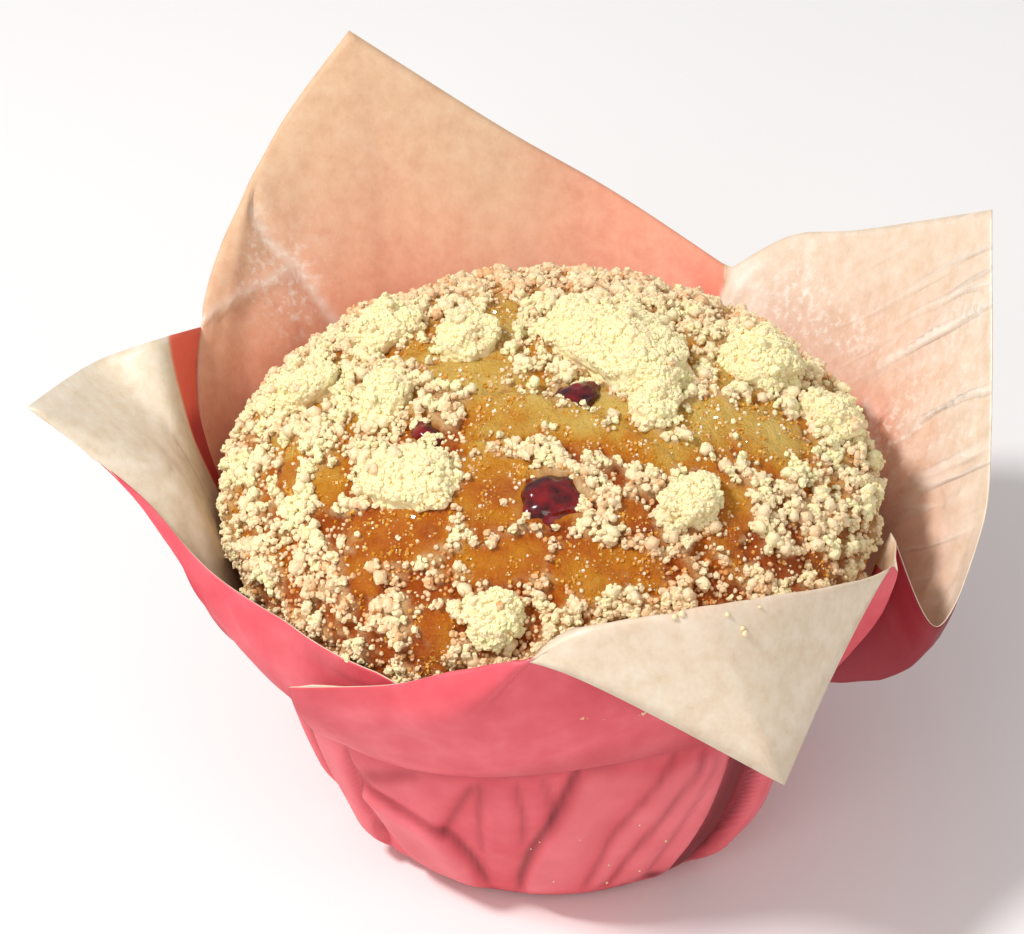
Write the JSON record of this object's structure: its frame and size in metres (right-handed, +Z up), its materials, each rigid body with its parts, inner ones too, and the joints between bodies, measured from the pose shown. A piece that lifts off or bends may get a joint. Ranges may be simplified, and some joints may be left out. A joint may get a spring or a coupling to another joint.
{
  "type": "muffin in paper case",
  "caption": "Crumble-topped muffin with glazed crust and spots of jam, in a case pressed from a square paper sheet whose corners flare up as petals.",
  "frame": {"origin": "middle of the flat underside of the paper case", "axes": "+Z up; +Y towards the back, away from the corner of the paper that is folded down over the front; +X to the right of that view"},
  "size_m": [0.1217, 0.1102, 0.0781],
  "materials": {
    "case_paper": "satin greaseproof paper, red outside and brown kraft inside",
    "baked_cake": "glazed baked crust with crumble grains",
    "crumble": "matt pale yellow crumble",
    "jam": "wet, dark red, glossy"
  },
  "bodies": {
    "root": {"crumble_lump_1": "crumble", "crumble_lump_10": "crumble", "crumble_lump_11": "crumble", "crumble_lump_2": "crumble", "crumble_lump_3": "crumble", "crumble_lump_4": "crumble", "crumble_lump_5": "crumble", "crumble_lump_6": "crumble", "crumble_lump_7": "crumble", "crumble_lump_8": "crumble", "crumble_lump_9": "crumble", "jam_back": "jam", "jam_front": "jam", "jam_left": "jam", "muffin": "baked_cake", "paper_case": "case_paper"}
  },
  "joints": []
}
